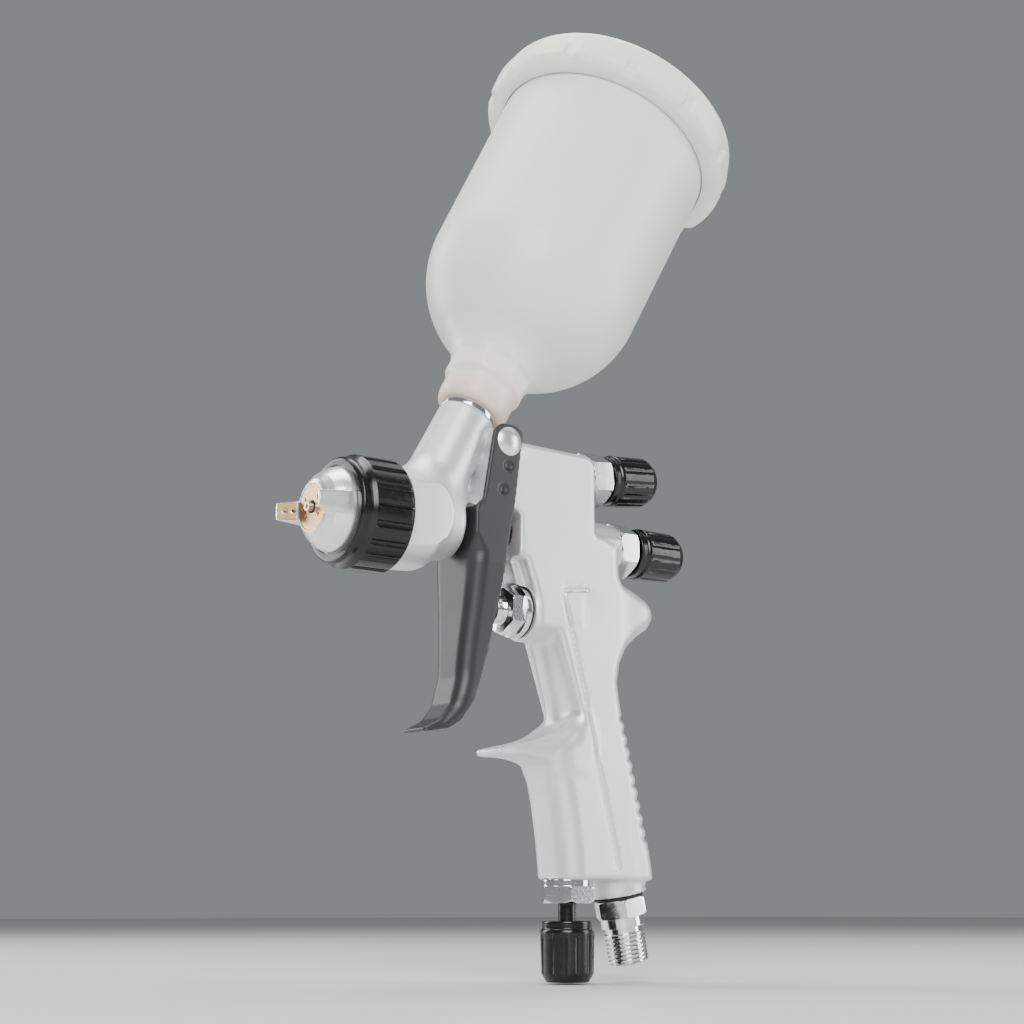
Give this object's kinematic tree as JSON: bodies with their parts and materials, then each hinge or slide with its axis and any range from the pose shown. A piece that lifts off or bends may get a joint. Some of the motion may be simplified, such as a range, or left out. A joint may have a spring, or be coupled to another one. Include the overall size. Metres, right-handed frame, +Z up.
{
  "type": "gravity feed spray gun",
  "caption": "Small gravity-feed spray gun: satin casting with trigger and finger rest, knurled head, three control knobs, tilted milky cup with screw lid",
  "frame": {"origin": "centre of the air inlet's threaded end, under the grip", "axes": "+Z up through the grip to the cup's lid, -X the way the gun sprays, +Y its left side, across the casting"},
  "size_m": [0.1619, 0.0874, 0.3133],
  "materials": {
    "satin_aluminium": "satin, fine-blasted and clear-coated",
    "nickel_brass": "bright nickel plate on brass",
    "chrome": "bright chrome plate",
    "stainless": "ground stainless steel",
    "brass": "turned brass",
    "black_plastic": "glossy moulded black plastic",
    "anthracite": "satin anthracite coating on sheet steel",
    "milky_plastic": "translucent milky polypropylene",
    "white_plastic": "natural PTFE and polyethylene",
    "black_rubber": "black nitrile rubber"
  },
  "bodies": {
    "gun": {"gun_body": "satin_aluminium", "fluid_nozzle": "stainless", "air_baffle": "brass", "needle_packing": "white_plastic", "packing_screw": "brass", "fluid_bushing": "chrome", "fan_bushing": "chrome", "regulator_bushing": "chrome", "valve_gasket": "black_rubber", "valve_bushing": "chrome", "inlet_fitting": "chrome", "inlet_gasket": "black_rubber", "pivot_pin": "chrome", "pivot_screw": "chrome", "cup_adapter": "chrome"},
    "head_washer": {"cap_washer": "white_plastic"},
    "cap": {"air_cap": "nickel_brass"},
    "ring": {"retaining_ring": "nickel_brass", "ring_grip": "black_plastic"},
    "trigger": {"trigger": "anthracite"},
    "needle": {"fluid_needle": "stainless", "needle_collar": "brass", "spring_pusher": "stainless", "needle_spring": "stainless"},
    "valve": {"valve_stem": "stainless", "valve_poppet": "brass", "valve_spring": "stainless"},
    "spring_seat": {"spring_seat": "stainless"},
    "fluid_control": {"fluid_screw": "stainless", "fluid_knob": "black_plastic"},
    "fan_seal": {"fan_seal": "black_rubber"},
    "fan_control": {"fan_spindle": "stainless", "fan_knob": "black_plastic"},
    "regulator_seal": {"regulator_seal": "black_rubber"},
    "regulator_control": {"regulator_stem": "black_plastic", "regulator_cone": "brass", "regulator_knob": "black_plastic"},
    "strainer": {"cup_strainer": "white_plastic"},
    "cup": {"cup": "milky_plastic"},
    "lid_seal": {"lid_seal": "white_plastic"},
    "lid": {"cup_lid": "milky_plastic", "lid_vent": "white_plastic"}
  },
  "joints": [
    {"name": "trigger_pull", "type": "hinge", "parent": "gun", "child": "trigger", "pos_m": [-0.058, 0, 0.1634], "axis": [0, -1, 0], "range_deg": [0, 10.5], "stiffness_Nm_per_rad": 1.2, "springref_deg": -20.05},
    {"name": "needle_draw", "type": "slide", "parent": "gun", "child": "needle", "axis": [1, 0, 0], "range_m": [0, 0.0051], "deforming": ["needle_spring"]},
    {"name": "air_valve_push", "type": "slide", "parent": "gun", "child": "valve", "axis": [1, 0, 0], "range_m": [0, 0.00966], "deforming": ["valve_spring"]},
    {"name": "ring_travel", "type": "slide", "parent": "gun", "child": "head_washer", "axis": [-1, 0, 0], "range_m": [0, 0.008]},
    {"name": "ring_turn", "type": "hinge", "parent": "head_washer", "child": "ring", "pos_m": [-0.103, 0, 0.136], "axis": [-1, 0, 0], "range_deg": [0, 1920]},
    {"name": "air_cap_turn", "type": "hinge", "parent": "head_washer", "child": "cap", "pos_m": [-0.116, 0, 0.136], "axis": [-1, 0, 0], "range_deg": [-90, 90]},
    {"name": "fluid_travel", "type": "slide", "parent": "gun", "child": "spring_seat", "axis": [1, 0, 0], "range_m": [0, 0.003]},
    {"name": "fluid_knob_turn", "type": "hinge", "parent": "spring_seat", "child": "fluid_control", "pos_m": [0.002, 0, 0.136], "axis": [1, 0, 0], "range_deg": [0, 1080]},
    {"name": "fan_travel", "type": "slide", "parent": "gun", "child": "fan_seal", "axis": [0.9954, 0, 0.0958], "range_m": [0, 0.003]},
    {"name": "fan_knob_turn", "type": "hinge", "parent": "fan_seal", "child": "fan_control", "pos_m": [-0.0208, 0, 0.1584], "axis": [0.9954, 0, 0.0958], "range_deg": [0, 1080]},
    {"name": "regulator_travel", "type": "slide", "parent": "gun", "child": "regulator_seal", "axis": [0, 0, 1], "range_m": [0, 0.0035]},
    {"name": "regulator_knob_turn", "type": "hinge", "parent": "regulator_seal", "child": "regulator_control", "pos_m": [-0.0257, 0, 0.016], "axis": [0, 0, 1], "range_deg": [0, 1260]},
    {"name": "cup_travel", "type": "slide", "parent": "gun", "child": "strainer", "axis": [0.4818, 0, 0.8763], "range_m": [0, 0.012]},
    {"name": "cup_turn", "type": "hinge", "parent": "strainer", "child": "cup", "pos_m": [-0.05699, 0, 0.18858], "axis": [0.4818, 0, 0.8763], "range_deg": [0, 2880]},
    {"name": "lid_travel", "type": "slide", "parent": "cup", "child": "lid_seal", "axis": [0.4818, 0, 0.8763], "range_m": [0, 0.008]},
    {"name": "lid_turn", "type": "hinge", "parent": "lid_seal", "child": "lid", "pos_m": [-0.00641, 0, 0.28059], "axis": [0.4818, 0, 0.8763], "range_deg": [0, 720]}
  ],
  "couplings": [
    {"joint": "needle_draw", "follows": "trigger_pull", "m_per_rad": 0.027711},
    {"joint": "air_valve_push", "follows": "trigger_pull", "m_per_rad": 0.05259},
    {"joint": "ring_turn", "follows": "ring_travel", "rad_per_m": 4188.8},
    {"joint": "fluid_knob_turn", "follows": "fluid_travel", "rad_per_m": 6283.2},
    {"joint": "fan_knob_turn", "follows": "fan_travel", "rad_per_m": 6283.2},
    {"joint": "regulator_knob_turn", "follows": "regulator_travel", "rad_per_m": 6283.2},
    {"joint": "cup_turn", "follows": "cup_travel", "rad_per_m": 4188.8},
    {"joint": "lid_turn", "follows": "lid_travel", "rad_per_m": 1570.8}
  ]
}
